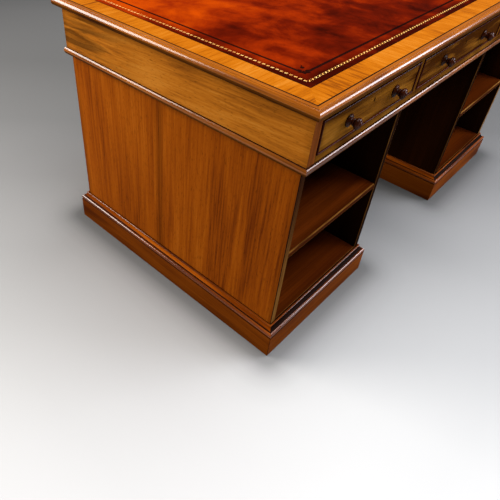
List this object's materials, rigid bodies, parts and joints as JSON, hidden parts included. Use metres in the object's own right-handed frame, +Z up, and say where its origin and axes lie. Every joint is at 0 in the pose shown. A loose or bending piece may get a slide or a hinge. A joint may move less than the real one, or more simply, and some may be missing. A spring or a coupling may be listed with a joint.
{
  "type": "pedestal writing desk",
  "caption": "Pedestal writing desk: leather-lined top with a moulded edge, sliding frieze drawers with turned knobs, and open shelved pedestals on plinths beside a kneehole.",
  "frame": {"origin": "on the floor, at the centre of the desk's outline seen from above", "axes": "+X along the front to the right of someone facing the drawers, -Y out of the front, +Z up"},
  "size_m": [1.542, 0.882, 0.77],
  "materials": {
    "mahogany_carcase": "French-polished mahogany, upright grain",
    "mahogany_plinth": "French-polished mahogany, darker, lengthways grain",
    "mahogany_moulding": "French-polished solid mahogany moulding, high gloss",
    "crossbanding": "polished crossbanded veneer with a dark string",
    "leather_top": "glazed hide, mottled red-brown, gilt and blind tooled border",
    "mahogany_frieze": "French-polished figured golden mahogany, lengthways grain",
    "mahogany_drawer_face": "French-polished figured mahogany, olive brown",
    "mahogany_dark": "polished dark mahogany",
    "oak_lining": "planed unpolished oak",
    "lock_brass": "aged brass"
  },
  "bodies": {
    "desk": {"top_edge_moulding": "mahogany_moulding", "top_board": "mahogany_carcase", "top_crossbanding": "crossbanding", "leather_lining": "leather_top", "frieze_end_left": "mahogany_frieze", "frieze_end_right": "mahogany_frieze", "frieze_back": "mahogany_frieze", "frieze_bottom_rail": "mahogany_drawer_face", "frieze_top_rail": "mahogany_drawer_face", "dustboard": "oak_lining", "drawer_partition_left": "mahogany_drawer_face", "drawer_partition_right": "mahogany_drawer_face", "frieze_bead": "mahogany_moulding", "left_pedestal_outer_side": "mahogany_carcase", "left_pedestal_inner_side": "mahogany_carcase", "left_pedestal_back": "mahogany_carcase", "left_pedestal_top": "mahogany_carcase", "left_pedestal_shelf": "mahogany_carcase", "left_pedestal_bottom": "mahogany_carcase", "left_pedestal_plinth_front": "mahogany_plinth", "left_pedestal_plinth_outer": "mahogany_plinth", "left_pedestal_plinth_back": "mahogany_plinth", "left_pedestal_plinth_inner": "mahogany_plinth", "right_pedestal_outer_side": "mahogany_carcase", "right_pedestal_inner_side": "mahogany_carcase", "right_pedestal_back": "mahogany_carcase", "right_pedestal_top": "mahogany_carcase", "right_pedestal_shelf": "mahogany_carcase", "right_pedestal_bottom": "mahogany_carcase", "right_pedestal_plinth_front": "mahogany_plinth", "right_pedestal_plinth_outer": "mahogany_plinth", "right_pedestal_plinth_back": "mahogany_plinth", "right_pedestal_plinth_inner": "mahogany_plinth"},
    "left_drawer": {"left_drawer_front": "mahogany_drawer_face", "left_drawer_cock_bead": "mahogany_dark", "left_drawer_side_left": "oak_lining", "left_drawer_side_right": "oak_lining", "left_drawer_bottom": "oak_lining", "left_drawer_back": "oak_lining", "left_drawer_lock": "lock_brass", "left_drawer_knob_left": "mahogany_dark", "left_drawer_knob_right": "mahogany_dark"},
    "middle_drawer": {"middle_drawer_front": "mahogany_drawer_face", "middle_drawer_cock_bead": "mahogany_dark", "middle_drawer_side_left": "oak_lining", "middle_drawer_side_right": "oak_lining", "middle_drawer_bottom": "oak_lining", "middle_drawer_back": "oak_lining", "middle_drawer_lock": "lock_brass", "middle_drawer_knob_left": "mahogany_dark", "middle_drawer_knob_right": "mahogany_dark"},
    "right_drawer": {"right_drawer_front": "mahogany_drawer_face", "right_drawer_cock_bead": "mahogany_dark", "right_drawer_side_left": "oak_lining", "right_drawer_side_right": "oak_lining", "right_drawer_bottom": "oak_lining", "right_drawer_back": "oak_lining", "right_drawer_lock": "lock_brass", "right_drawer_knob_left": "mahogany_dark", "right_drawer_knob_right": "mahogany_dark"}
  },
  "joints": [
    {"name": "left_drawer_slide", "type": "slide", "parent": "desk", "child": "left_drawer", "axis": [0, -1, 0], "range_m": [0, 0.4]},
    {"name": "middle_drawer_slide", "type": "slide", "parent": "desk", "child": "middle_drawer", "axis": [0, -1, 0], "range_m": [0, 0.4]},
    {"name": "right_drawer_slide", "type": "slide", "parent": "desk", "child": "right_drawer", "axis": [0, -1, 0], "range_m": [0, 0.4]}
  ]
}
